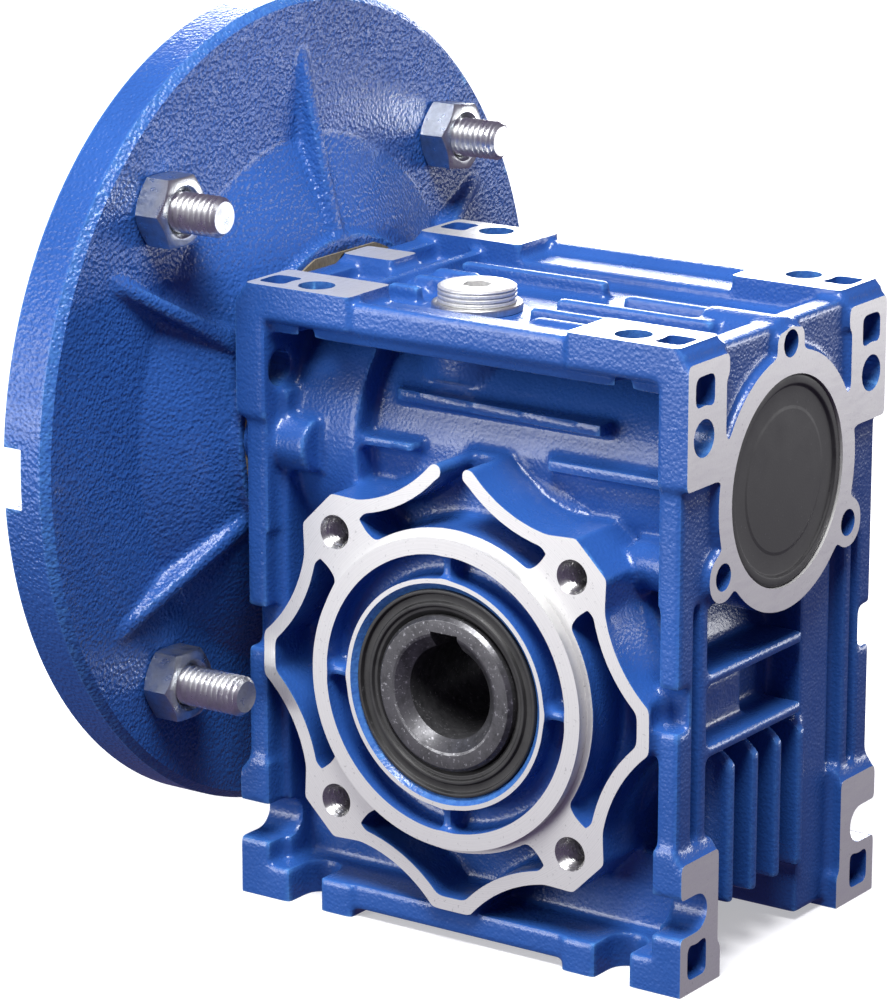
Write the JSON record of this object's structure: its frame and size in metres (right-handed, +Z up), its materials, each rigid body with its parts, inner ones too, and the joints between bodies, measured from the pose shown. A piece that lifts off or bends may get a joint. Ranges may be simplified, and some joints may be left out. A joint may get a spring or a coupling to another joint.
{
  "type": "worm gearbox",
  "caption": "Right-angle worm gearbox in a blue cast frame, with a hollow keyed output hub, machined mounting pads and a round motor flange.",
  "frame": {"origin": "middle of the output bore, halfway between the two hub faces", "axes": "+Y along the output bore towards the side cover, +X along the worm towards the end cap, +Z up from the feet to the worm"},
  "size_m": [0.1253, 0.16, 0.17],
  "materials": {
    "blue_paint": "glossy orange-peel paint on cast aluminium, with bright machined faces",
    "black_steel": "black oxide",
    "zinc_steel": "zinc plated",
    "washer_aluminium": "satin",
    "black_rubber": "matt",
    "gasket_paper": "matt fibre",
    "spring_steel": "phosphated",
    "hub_iron": "machined, dark",
    "wheel_bronze": "machined bronze",
    "worm_steel": "ground",
    "bearing_steel": "polished",
    "cage_brass": "pressed"
  },
  "bodies": {
    "case": {"housing": "blue_paint", "side_cover": "blue_paint", "side_cover_screws": "black_steel", "side_cover_o_ring": "black_rubber", "input_flange": "blue_paint", "flange_gasket": "gasket_paper", "flange_screws": "black_steel", "motor_bolts": "zinc_steel", "motor_nuts": "zinc_steel", "worm_end_cap": "black_rubber", "rear_circlip": "spring_steel", "input_circlip": "spring_steel", "worm_shim": "spring_steel", "input_oil_seal": "black_rubber", "output_seal_front": "black_rubber", "output_seal_rear": "black_rubber", "filler_plug": "zinc_steel", "plug_washer": "washer_aluminium", "front_bearing_outer_race": "bearing_steel", "back_bearing_outer_race": "bearing_steel", "input_bearing_outer_race": "bearing_steel", "rear_bearing_outer_race": "bearing_steel"},
    "output": {"output_hub": "hub_iron", "worm_wheel_rim": "wheel_bronze", "front_bearing_inner_race": "bearing_steel", "back_bearing_inner_race": "bearing_steel"},
    "worm": {"worm_shaft": "worm_steel", "input_bearing_inner_race": "bearing_steel", "rear_bearing_inner_race": "bearing_steel"},
    "output_balls": {"front_bearing_balls": "bearing_steel", "front_bearing_cage": "cage_brass", "back_bearing_balls": "bearing_steel", "back_bearing_cage": "cage_brass"},
    "input_balls": {"input_bearing_balls": "bearing_steel", "input_bearing_cage": "cage_brass"},
    "rear_balls": {"rear_bearing_balls": "bearing_steel", "rear_bearing_cage": "cage_brass"}
  },
  "joints": [
    {"name": "output_spin", "type": "hinge", "parent": "case", "child": "output", "pos_m": [0, 0, 0], "axis": [0, 1, 0], "continuous": true},
    {"name": "worm_spin", "type": "hinge", "parent": "case", "child": "worm", "pos_m": [0, 0, 0.04], "axis": [1, 0, 0], "continuous": true},
    {"name": "output_balls_spin", "type": "hinge", "parent": "case", "child": "output_balls", "pos_m": [0, 0, 0], "axis": [0, 1, 0], "continuous": true},
    {"name": "input_balls_spin", "type": "hinge", "parent": "case", "child": "input_balls", "pos_m": [0, 0, 0.04], "axis": [1, 0, 0], "continuous": true},
    {"name": "rear_balls_spin", "type": "hinge", "parent": "case", "child": "rear_balls", "pos_m": [0, 0, 0.04], "axis": [1, 0, 0], "continuous": true}
  ],
  "couplings": [
    {"joint": "worm_spin", "follows": "output_spin", "ratio": -30},
    {"joint": "output_balls_spin", "follows": "output_spin", "ratio": 0.41529},
    {"joint": "input_balls_spin", "follows": "output_spin", "ratio": -12.25},
    {"joint": "rear_balls_spin", "follows": "output_spin", "ratio": -11.526}
  ]
}
